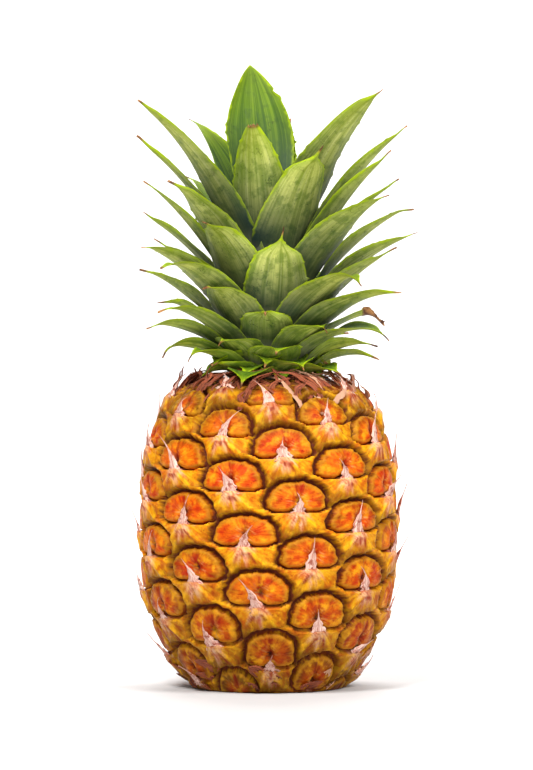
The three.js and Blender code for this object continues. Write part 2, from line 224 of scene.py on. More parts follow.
def phase_of(eyes, which):
    return WHOLE_TURN * chance_of(eyes, which)


# heights of the discs, with their pit, puckered middle, crease and wrinkled rim
dx, dy, ring = field["disc_x"], field["disc_y"], field["ring"]
pit_x = 3.0 * (chance_of(disc_eye, 2) - 0.5)
pit_y = 4.6 + 2.0 * (chance_of(disc_eye, 3) - 0.5)
from_pit = np.hypot(dx - pit_x, dy - pit_y)
disc_angle = np.arctan2(dy - pit_y, dx - pit_x)
disc_ripple = np.zeros(grid)
bract_ripple = np.zeros(grid)
bract_angle = np.arctan2(field["bract_y"] - 1.5, field["bract_x"])
for eye in eye_numbers:
    here = disc_eye == eye
    disc_ripple[here] = waves(eye, disc_angle[here], 0, 6)
    here = bract_eye == eye
    bract_ripple[here] = waves(eye, bract_angle[here], 1, 9)
above_lip = dy - lip_of(dx)
disc_rise = CREVICE + 3.4 * smooth(field["disc"], 0.4, 1.7)
disc_rise += 0.5 * bell(from_pit - 5.5, 2.6) - 1.7 * bell(from_pit, 1.9)
disc_rise -= 0.6 * bell(dx - pit_x, 0.9) * smooth(dy, 3, 7)
disc_rise -= 1.1 * np.exp(-above_lip / 1.1)
disc_rise += 0.30 * disc_ripple * smooth(ring, 0.35, 0.8)

# heights of the bracts, highest under their point, with a ridge out to each lower corner
bx, by = field["bract_x"], field["bract_y"]
bract_top = 0.7 + 2.1 * bell(bx, 5.0) * np.clip(1 + by / 15, 0, 1)
right_ridge = np.abs(by + 0.80 * (bx + 1) + 0.5) / 1.28
left_ridge = np.abs(by - 0.95 * (bx - 1) + 0.5) / 1.38
bract_ridge = bell(np.minimum(right_ridge, left_ridge), 1.2) * smooth(-by, 0.5, 4)
bract_top = bract_top + 0.9 * bract_ridge + 0.14 * bract_ripple
bract_top += 0.35 * np.exp(-(lip_of(bx) - by) / 1.1)
bract_rise = CREVICE + (bract_top - CREVICE) * smooth(-field["edge"], 0.4, 1.9)
bract_rise = np.where(in_bract, bract_rise, CREVICE)
rise = np.where(is_disc, disc_rise, bract_rise)
end_fade = smooth(rows, FIRST_ROW - 2, FIRST_ROW + 4) * smooth(-rows, -LAST_ROW - 0.5, -LAST_ROW + 4)
rise = rise * end_fade[:, None] * MM

side_radius, side_height, side_out, side_down = (value[:, None] for value in side_of_fruit(rows))
turn = turn_of(rows[:, None], columns)
skin_radius = side_radius - side_down * rise
skin_height = np.maximum(side_height + side_out * rise, 0.2 * MM)
skin = np.stack([skin_radius * np.sin(turn), -skin_radius * np.cos(turn), skin_height], axis=-1)

# colours of the discs: orange, flecked round their pit, with an olive rim and red creases, and a painted
# shadow along the bract's lip
ORANGE, DEEP_ORANGE = (0.76, 0.180, 0.002), (0.66, 0.052, 0.001)
RED_PATCH, AMBER_PATCH = (0.55, 0.028, 0.001), (0.80, 0.26, 0.004)
PALE_RAYS = (0.98, 0.54, 0.15)
OLIVE_RIM, GREEN_RIM = (0.46, 0.165, 0.003), (0.27, 0.135, 0.004)
CREASE_RED, PIT_DARK, LIP_SHADOW_RED = (0.36, 0.014, 0.003), (0.07, 0.008, 0.016), (0.30, 0.012, 0.002)

green = np.clip(smooth(-rows, -21, -2) + smooth(rows, 54, 70), 0, 1)[:, None] * 0.75
green = green + 0.9 * (chance_of(disc_eye, 4) - 0.55) * (chance_of(disc_eye, 4) > 0.55)
green = np.clip(green, 0, 1)
warm = np.clip(0.40 + 0.35 * disc_ripple + 1.1 * (chance_of(disc_eye, 5) - 0.5), 0, 1)
disc_paint = mix(ORANGE, DEEP_ORANGE, warm)
patch = np.sin(0.42 * dx + phase_of(disc_eye, 6)) * np.sin(0.50 * dy + phase_of(disc_eye, 7))
patch = patch + 0.5 * np.sin(0.9 * dx - 0.7 * dy + phase_of(disc_eye, 9)) + 0.4 * disc_ripple
disc_paint = mix(disc_paint, RED_PATCH, 0.75 * smooth(patch, 0.15, 0.9))
disc_paint = mix(disc_paint, AMBER_PATCH, 0.65 * smooth(-patch, 0.15, 0.9))
rays = disc_ripple + 0.7 * np.sin(23 * disc_angle + phase_of(disc_eye, 8))
disc_paint = mix(disc_paint, PALE_RAYS, 0.8 * smooth(-from_pit, -6.5, -2.0) * smooth(rays, 0.1, 1.1))
olive = smooth(ring + 0.16 * disc_ripple, 0.66 - 0.25 * green, 0.98)
disc_paint = mix(disc_paint, OLIVE_RIM, 0.85 * olive)
disc_paint = mix(disc_paint, GREEN_RIM, green * smooth(ring, 0.25, 0.85))
crease = bell(dx - pit_x + 0.9 * disc_ripple, 1.1) * smooth(dy, 3, 7)
disc_paint = mix(disc_paint, CREASE_RED, 0.85 * crease)
disc_paint = mix(disc_paint, PIT_DARK, bell(from_pit, 1.4 + 0.9 * disc_ripple))
# painted shadow: dark red on the disc just above the bract's lip, which overlaps it
disc_paint = mix(disc_paint, LIP_SHADOW_RED, 0.95 * bell(above_lip, 1.6))

# colours of the bracts: gold, greener low down, with bright ridges, and a pink fan under the point
# that red lines cross
GOLD_LOW, GOLD = (0.66, 0.265, 0.003), (0.96, 0.440, 0.007)
BRACT_GREEN, RIDGE_YELLOW, BRACT_BROWN = (0.29, 0.145, 0.003), (0.97, 0.54, 0.010), (0.46, 0.18, 0.006)
FAN_PINK, FAN_RED, DASH_RED = (0.92, 0.55, 0.36), (0.45, 0.060, 0.020), (0.33, 0.014, 0.004)
TOP_HOLLOW_SHADE = (0.16, 0.040, 0.012)

bract_green = np.clip(0.8 * green + 0.9 * smooth(-by, 6, 12), 0, 1)
bract_paint = mix(GOLD_LOW, GOLD, smooth(by - lip_of(bx), -5.0, 0))
bract_paint = mix(bract_paint, BRACT_GREEN, 0.85 * bract_green)
bract_paint = mix(bract_paint, RIDGE_YELLOW, 0.8 * bract_ridge * (1 - 0.4 * bract_green))
bract_paint = mix(bract_paint, BRACT_BROWN, 0.4 * smooth(bract_ripple, 0.2, 1.0))
fan = np.hypot(bx * 1.15, (by + 1.5) * 0.95)
pink = smooth(-fan, -7.0 - 2.5 * bract_ripple, -2.4)
bract_paint = mix(bract_paint, FAN_PINK, pink * (0.75 + 0.25 * bract_ripple.clip(-1, 1)))
red_lines = smooth(np.sin(19 * bract_angle + phase_of(bract_eye, 9)), 0.35, 1.0)
bract_paint = mix(bract_paint, FAN_RED, 0.65 * pink * red_lines)
for which, slope, missing in ((6, -0.55, 0.4), (7, 0.1, 0.15), (8, 0.6, 0.4)):
    dash_x = bx - slope * (-by) - 1.0 * (chance_of(bract_eye, which) - 0.5)
    length = 5 + 5 * chance_of(bract_eye, which)
    dash = bell(dash_x, 0.75) * smooth(-by, 2.4, 3.6) * smooth(by, -length, -length + 2)
    shown = chance_of(bract_eye, which + 3) > missing
    bract_paint = mix(bract_paint, DASH_RED, 0.95 * dash * shown)

# the whole rind: painted shade at its top edge, in the hollow under the crown, and painted shade darkening
# it towards both ends
paint = np.where(is_disc[..., None], disc_paint, bract_paint)
# painted shade: dark brown over the top rows, in the hollow under the crown's leaves
paint = mix(paint, TOP_HOLLOW_SHADE, 0.85 * smooth(-rows, -3.5, 1)[:, None])
# painted shade: the rind's colour darkened towards its foot and, less, towards its top
paint *= (1 - 0.40 * smooth(rows, 34, 66) - 0.20 * smooth(-rows, -18, -2))[:, None, None]

# millimetres in from a crevice on the discs, and out from it, below nought, on the bracts
SEAM_LIMIT = 9
seam = np.where(is_disc, field["disc"], np.where(in_bract, field["edge"], 0))
seam = np.clip(seam, -SEAM_LIMIT, SEAM_LIMIT)

# where the shader's fibres run: out from each disc's pit and each bract's point, unlike in every eye
fibre_angle = np.where(is_disc, disc_angle, bract_angle)
fibre_eye = np.where(is_disc, disc_eye, bract_eye)
fibre = np.stack([
    np.cos(fibre_angle) + 7 * chance_of(fibre_eye, 6),
    np.sin(fibre_angle) + 7 * chance_of(fibre_eye, 7),
    np.where(is_disc, from_pit, fan) / 13,
], axis=-1)


def new_mesh(name, points, faces):
    mesh = bpy.data.meshes.new(name)
    mesh.from_pydata(np.asarray(points, float).reshape(-1, 3).tolist(), [], faces)
    mesh.polygons.foreach_set("use_smooth", [True] * len(mesh.polygons))
    mesh.update()
    piece = bpy.data.objects.new(name, mesh)
    bpy.context.scene.collection.objects.link(piece)
    return piece


def give(piece, name, values, kind="FLOAT_VECTOR"):
    """Stores a value at every point of a piece, for its material to read."""
    attribute = piece.data.attributes.new(name, kind, "POINT")
    key = {"FLOAT_VECTOR": "vector", "FLOAT_COLOR": "color", "FLOAT": "value"}[kind]
    attribute.data.foreach_set(key, np.asarray(values, np.float32).ravel())


# plain rings close the skin: over a low dome to the crown stem's hollow, and under it to the stalk's
GAP = 0.3 * MM
stem_end, stalk_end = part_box("crown_stem")[0].z - GAP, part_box("stalk_stub")[1].z + GAP
stem_hollow, stalk_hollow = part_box("crown_stem")[1].x + GAP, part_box("stalk_stub")[1].x + GAP
crown_edge, foot_edge = float(side_radius[0, 0]), float(side_radius[-1, 0])
top_rings = [(stem_hollow, stem_end), (stem_hollow, 138.5 * MM), (0.72 * crown_edge, 138.8 * MM)]
foot_rings = [(foot_edge - 0.6 * MM, 0), (stalk_hollow, 0), (stalk_hollow, stalk_end)]
wide = len(columns)


def level_rings(turns, rings):
    """Rings of the skin's own columns, each level at its own radius and height."""
    return [np.stack([radius * np.sin(turns), -radius * np.cos(turns), np.full(wide, height)], axis=-1)
            for radius, height in rings]


def with_ends(values, plain):
    """Values for the plain rings and middle points at both ends of the fruit, round those of its skin."""
    top, foot = (np.tile(plain, (len(rings), wide, 1)) for rings in (top_rings, foot_rings))
    around = np.concatenate([top, values, foot]).reshape(-1, values.shape[-1])
    return np.concatenate([around, np.tile(plain, (2, 1))])


rings = np.concatenate([level_rings(turn[0], top_rings), skin, level_rings(turn[-1], foot_rings)])
fruit_points = np.concatenate([rings.reshape(-1, 3), [[0, 0, stem_end], [0, 0, stalk_end]]])
last, middle = (len(rings) - 1) * wide, len(rings) * wide
beside = [(j, (j + 1) % wide) for j in range(wide)]
fruit_faces = [(i + j, i + wide + j, i + wide + k, i + k) for i in range(0, last, wide) for j, k in beside]
fruit_faces += [(middle, j, k) for j, k in beside] + [(middle + 1, last + k, last + j) for j, k in beside]
fruit = new_mesh("fruit_skin", fruit_points, fruit_faces)
rgba = np.concatenate([paint, np.ones(grid + (1,))], axis=-1)
# the plain rings at both ends are one dark brown: painted shade in the hollow under the crown, and the same
# under the foot
give(fruit, "rind_paint", with_ends(rgba, (0.10, 0.030, 0.012, 1)), "FLOAT_COLOR")
give(fruit, "fibre", with_ends(fibre, (0, 0, 0)))
give(fruit, "seam", with_ends(seam[..., None], (SEAM_LIMIT,)), "FLOAT")


def new_material(name):
    material = bpy.data.materials.new(name)
    material.use_nodes = True
    return material, material.node_tree


def put(tree, value, socket):
    """Joins a socket to the one that feeds it, or sets it to a number or a colour."""
    if isinstance(value, bpy.types.NodeSocket):
        tree.links.new(value, socket)
    else:
        socket.default_value = (*value, 1) if isinstance(value, tuple) else value


def stored(tree, name, output="Vector"):
    attribute = tree.nodes.new("ShaderNodeAttribute")
    attribute.attribute_name = name
    return attribute.outputs[output]


def parts(tree, vector):
    """The three numbers of a vector."""
    split = tree.nodes.new("ShaderNodeSeparateXYZ")
    tree.links.new(vector, split.inputs[0])
    return tuple(split.outputs)


def noise(tree, scale, detail, source=None, stretch=None):
    """A noise texture over the object's own coordinates or a stored vector, stretched or not."""
    texture = tree.nodes.new("ShaderNodeTexNoise")
    texture.inputs["Scale"].default_value = scale
    texture.inputs["Detail"].default_value = detail
    if source is None:
        source = tree.nodes.new("ShaderNodeTexCoord").outputs["Object"]
    if stretch:
        mapping = tree.nodes.new("ShaderNodeMapping")
        mapping.inputs["Scale"].default_value = stretch
        tree.links.new(source, mapping.inputs["Vector"])
        source = mapping.outputs["Vector"]
    tree.links.new(source, texture.inputs["Vector"])
    return texture.outputs["Fac"]


def ramp(tree, source, low, high, from_value=0.0, to_value=1.0):
    """A number that runs between two values as its source runs from low to high."""
    node = tree.nodes.new("ShaderNodeMapRange")
    node.inputs["From Min"].default_value = low
    node.inputs["From Max"].default_value = high
    node.inputs["To Min"].default_value = from_value
    node.inputs["To Max"].default_value = to_value
    tree.links.new(source, node.inputs["Value"])
    return node.outputs["Result"]


def figure(tree, operation, first, second=0.0):
    """Arithmetic on sockets or numbers."""
    node = tree.nodes.new("ShaderNodeMath")
    node.operation = operation
    put(tree, first, node.inputs[0])
    put(tree, second, node.inputs[1])
    return node.outputs[0]


def layer(tree, share, under, over, how="MIX"):
    """A colour laid over another one, by a share; each is a socket or a plain value."""
    node = tree.nodes.new("ShaderNodeMix")
    node.data_type = "RGBA"
    node.blend_type = how
    for place, value in ((0, share), (6, under), (7, over)):   # the sockets that a colour mix uses
        put(tree, value, node.inputs[place])
    return node.outputs[2]


def bump(tree, height, strength, distance, under=None):
    node = tree.nodes.new("ShaderNodeBump")
    node.inputs["Strength"].default_value = strength
    node.inputs["Distance"].default_value = distance
    tree.links.new(height, node.inputs["Height"])
    if under is not None:
        tree.links.new(under, node.inputs["Normal"])
    return node.outputs["Normal"]


def surface(tree, colour, roughness, normal=None, specular=None):
    """Puts a material's looks on its shader."""
    inputs = tree.nodes["Principled BSDF"].inputs
    put(tree, colour, inputs["Base Color"])
    put(tree, roughness, inputs["Roughness"])
    if normal is not None:
        put(tree, normal, inputs["Normal"])
    if specular is not None:
        inputs["Specular IOR Level"].default_value = specular


rind, tree = new_material("fruit_rind")
fibre_place = stored(tree, "fibre")
outward = parts(tree, fibre_place)[2]
fibres = noise(tree, 9.0, 5, fibre_place, (1, 1, 0.30))
blotches = noise(tree, 3.2, 4, fibre_place, (1, 1, 1.3))
speckle = noise(tree, 900, 4)
cloud = noise(tree, 230, 6)
streak = figure(tree, "MULTIPLY", ramp(tree, fibres, 0.42, 0.60), ramp(tree, outward, 0.2, 0.8, 0.15, 0.65))
colour = stored(tree, "rind_paint", "Color")
for share, shade in (
    (streak, (0.70, 0.38, 0.18)),
    (ramp(tree, blotches, 0.50, 0.66, 0.0, 0.6), (0.76, 0.32, 0.20)),
    (ramp(tree, cloud, 0.50, 0.36, 0.0, 0.8), (0.80, 0.42, 0.30)),
):
    colour = layer(tree, share, colour, shade, "MULTIPLY")
colour = layer(tree, ramp(tree, cloud, 0.53, 0.68, 0.0, 0.5), colour, (0.92, 0.46, 0.010))
colour = layer(tree, ramp(tree, speckle, 0.60, 0.72, 0.0, 0.6), colour, (0.42, 0.20, 0.12), "MULTIPLY")

# the crevice, darkened with painted shade, between a wrinkled rim on the disc's side and a brown edge on
# the bract's
RIM_OLIVE, EDGE_BROWN, CREVICE_SHADE = (0.47, 0.200, 0.008), (0.23, 0.095, 0.006), (0.118, 0.022, 0.009)
wander = figure(tree, "ADD", ramp(tree, fibres, 0.3, 0.7, -0.55, 0.55),
                ramp(tree, noise(tree, 520, 3), 0.3, 0.7, -0.35, 0.35))
seam_place = figure(tree, "ADD", stored(tree, "seam", "Fac"), wander)
rim = figure(tree, "MULTIPLY", ramp(tree, seam_place, 1.0, 1.5, 0, 0.6), ramp(tree, seam_place, 3.4, 2.1))
colour = layer(tree, rim, colour, RIM_OLIVE)
edge = figure(tree, "MULTIPLY", ramp(tree, seam_place, -2.5, -0.9, 0, 0.8),
              ramp(tree, seam_place, 0.2, -0.4))
colour = layer(tree, edge, colour, EDGE_BROWN)
# painted shade: dark in the crevice, and in a thin line where the bract's lip meets the disc
colour = layer(tree, ramp(tree, figure(tree, "ABSOLUTE", seam_place), 1.30, 0.42), colour, CREVICE_SHADE)
grain = bump(tree, cloud, 0.35, 0.0006, bump(tree, fibres, 0.6, 0.0008))
surface(tree, colour, ramp(tree, fibres, 0.3, 0.7, 0.38, 0.62), grain, 0.10)
fruit.data.materials.append(rind)
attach(fruit, "root")
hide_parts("fruit")


# The papery points: each bract ends in a dry, pale pink blade that stands off the disc above it.
# Thin dead tissue, cupped along its middle, with a ragged foot grown into the bract and a bent tip.
BLADE_STEPS, BLADE_ACROSS = 15, 7
LAST_EYE = 69
TIP_WIDTH = 0.05 * MM
GOLDEN_SHARE = 0.618   # each blade's and leaf's own number is this far on from the last one's


def on_side(row, column):
    """A point on the fruit's side between its eyes and crevices, with the ways right, up it and out."""
    angle = float(turn_of(row, column % EYE_COLUMNS))
    radius, height, side_out, side_down = (float(v) for v in side_of_fruit(row))
    right = np.array([math.cos(angle), math.sin(angle), 0])
    level, upright = np.array([math.sin(angle), -math.cos(angle), 0]), np.array([0, 0, 1])
    up = -(level * side_out + upright * side_down)
    out = upright * side_out - level * side_down
    return level * radius + upright * height, right, up, out


def blade(path, right, out, widths, cup, thickness, ragged, wobble):
    """Points of a thin closed blade along a path; cup bends its edges away from out."""
    run = unit(np.gradient(path, axis=0))
    face = unit(out - run * (run @ out)[:, None])
    across = np.cross(run, face)
    across *= np.sign((across @ right).sum())
    share = np.linspace(-1, 1, BLADE_ACROSS)
    edge = 1 + ragged * wobble.uniform(-1, 1, (BLADE_STEPS, 2))
    half = 0.5 * widths[:, None] * np.where(share < 0, edge[:, :1], edge[:, 1:])
    dip = cup * share**2 * half
    fold = 0.22 * half * np.sin(9 * share + wobble.uniform(0, 6))
    front = path[:, None] + across[:, None] * (share * half)[..., None]
    front += face[:, None] * (fold - dip)[..., None]
    back = front - face[:, None] * (thickness * (1 - 0.8 * share**2))[:, None]
    return np.concatenate([front.reshape(-1, 3), back.reshape(-1, 3)])


def shell_faces(front_at, back_at, steps, across):
    """Faces of both sides and ends of a thin piece, from what numbers its front and back points."""
    faces = []
    for i in range(steps - 1):
        for j in range(across - 1):
            faces.append((front_at(i, j), front_at(i, j + 1), front_at(i + 1, j + 1), front_at(i + 1, j)))
            faces.append((back_at(i, j), back_at(i + 1, j), back_at(i + 1, j + 1), back_at(i, j + 1)))
    for i, flip in ((0, False), (steps - 1, True)):
        for j in range(across - 1):
            # a leaf's two sides share the points of its margins
            corners = (front_at(i, j), back_at(i, j), back_at(i, j + 1), front_at(i, j + 1))
            face = tuple(dict.fromkeys(corners))
            faces.append(face[::-1] if flip else face)
    return faces


def blade_faces():
    front_at = lambda i, j: i * BLADE_ACROSS + j
    back_at = lambda i, j: front_at(i + BLADE_STEPS, j)
    faces, edge = shell_faces(front_at, back_at, BLADE_STEPS, BLADE_ACROSS), BLADE_ACROSS - 1
    for i in range(BLADE_STEPS - 1):
        faces.append((front_at(i, 0), front_at(i + 1, 0), back_at(i + 1, 0), back_at(i, 0)))
        faces.append((front_at(i, edge), back_at(i, edge), back_at(i + 1, edge), front_at(i + 1, edge)))
    return faces


def blades_piece(name, made):
    """All the blades of one kind as one piece: places are along, across and each blade's own number."""
    size, pattern = 2 * BLADE_STEPS * BLADE_ACROSS, blade_faces()
    faces = [tuple(size * k + n for n in face) for k in range(len(made)) for face in pattern]
    piece = new_mesh(name, np.concatenate(made), faces)
    places = np.meshgrid(np.linspace(0, 1, BLADE_STEPS), np.linspace(-1, 1, BLADE_ACROSS), indexing="ij")
    places = np.tile(np.stack(places, axis=-1).reshape(-1, 2), (2 * len(made), 1))
    own = np.repeat(np.arange(len(made)) * GOLDEN_SHARE % 1, size)
    give(piece, "blade_place", np.concatenate([places, own[:, None]], axis=1))
    return piece


wobble = np.random.default_rng(5)
points_made = []
along = np.linspace(0, 1, BLADE_STEPS)
for eye in range(LAST_EYE + 1):
    chance = eye_chance[eye - FIRST_EYE]
    start, right, up, out = on_side(eye, -COLUMNS_BACK * eye)
    shorter = 0.8 if eye > 60 else 0.72 if eye < 9 else 1
    length = (7.5 + 7.5 * chance[9]) * MM * shorter
    lean, bend = 2.6 * (chance[10] - 0.5), 2.6 * (chance[8] - 0.5)
    away = 2.0 + 1.2 * along + (1.0 + 2.6 * chance[3]) * along**2 - 3.0 * chance[4] * along**4
    sideways = lean * along**1.3 + bend * along**3
    path = start + np.outer(length * (1.22 * along - 0.22), up) + np.outer(away * MM, out)
    path += np.outer(length * 0.4 * sideways, right)
    body = bell(along - 0.36, 0.25) * (3.3 + 1.7 * chance[5])
    foot_fan = (5.5 + 4.5 * chance[1]) * np.clip(1 - along / 0.34, 0, 1) ** 1.1
    width = np.maximum(body + foot_fan, 1.5 * (1 - along) ** 0.7) * MM
    width[-1] = TIP_WIDTH
    points_made.append(blade(path, right, out, width, 0.30, 0.30 * MM, 0.28, wobble))
papery = blades_piece("papery_points", points_made)

PAPER_PINK, PAPER_BROWN = (0.94, 0.67, 0.56), (0.50, 0.17, 0.11)
BLOT_RED, TIP_BROWN = (0.34, 0.055, 0.022), (0.40, 0.14, 0.08)
dry_skin, tree = new_material("dry_bract")
place = stored(tree, "blade_place")
streaks = noise(tree, 5.0, 6, place, (0.7, 3.0, 40.0))
blots = noise(tree, 420, 3)
colour = layer(tree, ramp(tree, streaks, 0.42, 0.60), PAPER_PINK, PAPER_BROWN)
colour = layer(tree, ramp(tree, blots, 0.54, 0.64, 0, 0.85), colour, BLOT_RED)
colour = layer(tree, ramp(tree, parts(tree, place)[0], 0.75, 1.0, 0, 0.75), colour, TIP_BROWN)
surface(tree, colour, 0.72, bump(tree, streaks, 0.5, 0.0005))
papery.data.materials.append(dry_skin)
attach(papery, "root")


# The dead collar: dried red-brown bracts and their threads round the top of the fruit. The long ones
# arch in over its shoulder to the crown, and short ones stand up at the edge.
COLLAR_BLADES, SCATTER = 110, 5.03   # columns from each blade on to the next


def arch(start, over, end, share):
    """A curve from start to end, drawn towards the point over it."""
    return start * (1 - share) ** 2 + over * (2 * share * (1 - share)) + end * share**2


chance = np.random.default_rng(23)
collar_made = []
share = along[:, None]
for number in range(COLLAR_BLADES):
    arched = number % 4 != 3
    row = -1 + 9 * chance.random() ** 1.5 if arched else chance.uniform(1, 7)
    column = (number * SCATTER + 0.5 * chance.random()) % EYE_COLUMNS
    start, right, up, out = on_side(row, column)
    level = start * (1, 1, 0) / np.hypot(start[0], start[1])
    drift = chance.uniform(-13, 13) * MM
    if arched:
        end = level * chance.uniform(15, 30) * MM
        end += np.array([0, 0, chance.uniform(139.0, 143.5) * MM])
        over = start + up * chance.uniform(9, 15) * MM + out * chance.uniform(1.0, 5.5) * MM
    else:
        end = start + up * chance.uniform(7, 13) * MM + out * chance.uniform(1.5, 6) * MM
        over = start + up * 5 * MM + out * chance.uniform(1.0, 4.0) * MM
    path = arch(start - out * 1.0 * MM, over, end, share)
    path += right * (drift * share**1.5 + 1.6 * MM * np.sin(8 * share + number) * share)
    path += out * (0.8 * MM * np.sin(11 * share + 2.3 * number) * share)
    broad = 0.6 + 3.0 * chance.random() ** 2
    width = (0.5 + broad * np.sin(np.pi * np.clip(0.25 + 0.75 * along, 0, 1))) * MM
    width[-1] = TIP_WIDTH
    facing = unit(out + level * 0.2 + np.array([0, 0, 0.6]))
    cup = 0.6 * chance.uniform(-1, 1)
    collar_made.append(blade(path, right, facing, width, cup, 0.3 * MM, 0.3, chance))
collar = blades_piece("dried_collar", collar_made)

DRY_RED, DRY_DARK = (0.46, 0.110, 0.032), (0.075, 0.008, 0.004)
DRY_BLOT, PALE_STRAND = (0.30, 0.050, 0.010), (0.74, 0.42, 0.26)
dead, tree = new_material("dead_bract")
place = stored(tree, "blade_place")
streaks = noise(tree, 4.0, 6, place, (0.6, 3.0, 40.0))
colour = layer(tree, ramp(tree, streaks, 0.38, 0.60), DRY_RED, DRY_DARK)
colour = layer(tree, ramp(tree, noise(tree, 300, 3), 0.52, 0.68, 0, 0.8), colour, DRY_BLOT)
# one strand in every few is paler
colour = layer(tree, ramp(tree, parts(tree, place)[2], 0.76, 0.84, 0, 0.7), colour, PALE_STRAND)
surface(tree, colour, 0.75, bump(tree, streaks, 0.6, 0.0006))
collar.data.materials.append(dead)
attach(collar, "root")


# The dried scales round the foot: short ragged bracts that the fruit stands among, curled and split.
# They are the same dead tissue as the collar, and stay just clear of what the fruit stands on.
SCALES, CLEAR_OF_FLOOR = 34, 3 * MM
chance = np.random.default_rng(31)
foot_made = []
for number in range(SCALES):
    row = 63.5 + 7.0 * chance.random()
    column = (number * SCATTER + 0.4 * chance.random()) % EYE_COLUMNS
    start, right, up, out = on_side(row, column)
    length = (5 + 6 * chance.random()) * MM
    lean = 2.6 * (chance.random() - 0.5)
    curl = chance.uniform(-1, 1)
    off = -0.7 + 2.6 * along + 1.5 * curl * along**2
    path = start + np.outer(length * (0.8 * along - 0.1), up) + np.outer(off * MM, out)
    path += np.outer(length * 0.6 * lean * along, right)
    path[:, 2] = np.maximum(path[:, 2], CLEAR_OF_FLOOR)
    shape = np.sin(np.pi * np.clip(0.2 + 0.78 * along, 0, 1)) ** 0.8
    width = (4.5 + 2.5 * chance.random()) * shape * MM
    width[-1] = TIP_WIDTH
    foot_made.append(blade(path, right, out, width, 0.4 * curl, 0.28 * MM, 0.2, chance))
foot_scales = blades_piece("foot_scales", foot_made)
foot_scales.data.materials.append(dead)
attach(foot_scales, "root")


# The cut stalk in the middle of the foot: dry, pale plant fibre, sawn level with the fruit.
# It is hidden while the fruit stands, and keeps its plain round shape.
stalk, tree = new_material("cut_stalk_fibre")
ends = noise(tree, 1800, 4)
colour = layer(tree, ramp(tree, ends, 0.42, 0.6), (0.52, 0.38, 0.21), (0.24, 0.14, 0.07))
colour = layer(tree, ramp(tree, noise(tree, 140, 3), 0.45, 0.7, 0, 0.5), colour, (0.34, 0.24, 0.12))
surface(tree, colour, 0.85, bump(tree, ends, 0.8, 0.0006))
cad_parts["stalk_stub"].data.materials.clear()
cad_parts["stalk_stub"].data.materials.append(stalk)


# The crown's stem, which every leaf grows from: pale green and fibrous, nearly hidden by their bases.
# It sits in a shallow hollow in the top of the fruit.
stem, tree = new_material("crown_stem_fibre")
strands = noise(tree, 500, 4, stretch=(1, 1, 0.12))
colour = layer(tree, ramp(tree, strands, 0.40, 0.62), (0.40, 0.42, 0.17), (0.17, 0.21, 0.07))
surface(tree, colour, 0.6, bump(tree, strands, 0.6, 0.0006))
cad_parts["crown_stem"].data.materials.clear()
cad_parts["crown_stem"].data.materials.append(stem)


# The crown leaves: stiff, channelled leaves that clasp the stem and nest over each other upwards.
# The inner face is dark green and the outer one grey-green under a silvery bloom. Both have fine
# lines along them, a thin yellow-green margin and a dried, hooked point.
LEAF_ALONG, LEAF_ACROSS = 60, 17
TEETH = 9
SPINE_NECK = 5.5 * MM   # the blade narrows to its spine over this length


def leaf_sections(node):
    """The sections of a CAD leaf from stem to tip, each as five outer and five inner points."""
    mesh = bmesh.new()
    mesh.from_mesh(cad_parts[node].data)
    bmesh.ops.remove_doubles(mesh, verts=mesh.verts, dist=2e-6)
    tip = max(mesh.verts, key=lambda v: len(v.link_edges))
    ahead = tip_place = tip.co.copy()
    seen, level, sections = {tip}, [tip], []
    while len(seen) < len(mesh.verts):
        level = [v for v in {e.other_vert(u) for u in level for e in u.link_edges} if v not in seen]
        seen.update(level)
        ring = [level[0]]
        while len(ring) < len(level):
            # an edge within the leaf's end cap isn't on the ring
            sides = [e for e in ring[-1].link_edges
                     if any(v not in level for f in e.link_faces for v in f.verts)]
            beside = [e.other_vert(ring[-1]) for e in sides]
            ring.append(next(v for v in beside if v in level and v not in ring))
        p = [v.co.copy() for v in ring]
        first = max(range(4), key=lambda k: (p[k] - p[k + 4]).length)
        p = p[first:] + p[:first]
        edge_middle = (p[0] + p[4]) / 2
        if (p[6] - edge_middle).length > (p[2] - edge_middle).length:
            p = [p[0]] + p[:0:-1]
        outward = (p[4] - p[0]).cross(ahead - edge_middle)
        if outward.dot(p[2] - p[6]) < 0:
            p = p[4::-1] + p[:4:-1]
        sections.append([p[:5], [p[0]] + p[:3:-1]])
        ahead = edge_middle
    mesh.free()
    sections.reverse()
    sections.append([[tip_place] * 5] * 2)
    return np.array(sections, float)


def eased_through(values, at, wanted):
    """A smooth line through values at uneven places."""
    slopes = np.gradient(values, at, axis=0)
    k = np.clip(np.searchsorted(at, wanted, side="right") - 1, 0, len(at) - 2)
    gap = at[k + 1] - at[k]
    t = (wanted - at[k]) / gap
    shape = (-1,) + (1,) * (values.ndim - 1)
    t, gap = t.reshape(shape), gap.reshape(shape)
    return ((2 * t**3 - 3 * t**2 + 1) * values[k] + (t**3 - 2 * t**2 + t) * gap * slopes[k]
            + (3 * t**2 - 2 * t**3) * values[k + 1] + (t**3 - t**2) * gap * slopes[k + 1])


def across_share():
    """Weights that carry five points of a section, from edge to edge, to the fine mesh's points."""
    wanted = np.sin(np.linspace(-np.pi / 2, np.pi / 2, LEAF_ACROSS))
    known = np.array([-1, -0.5, 0, 0.5, 1])
    weights = np.ones((LEAF_ACROSS, 5))
    for k in range(5):
        for other in range(5):
            if other != k:
                weights[:, k] *= (wanted - known[other]) / (known[k] - known[other])
    return wanted, weights


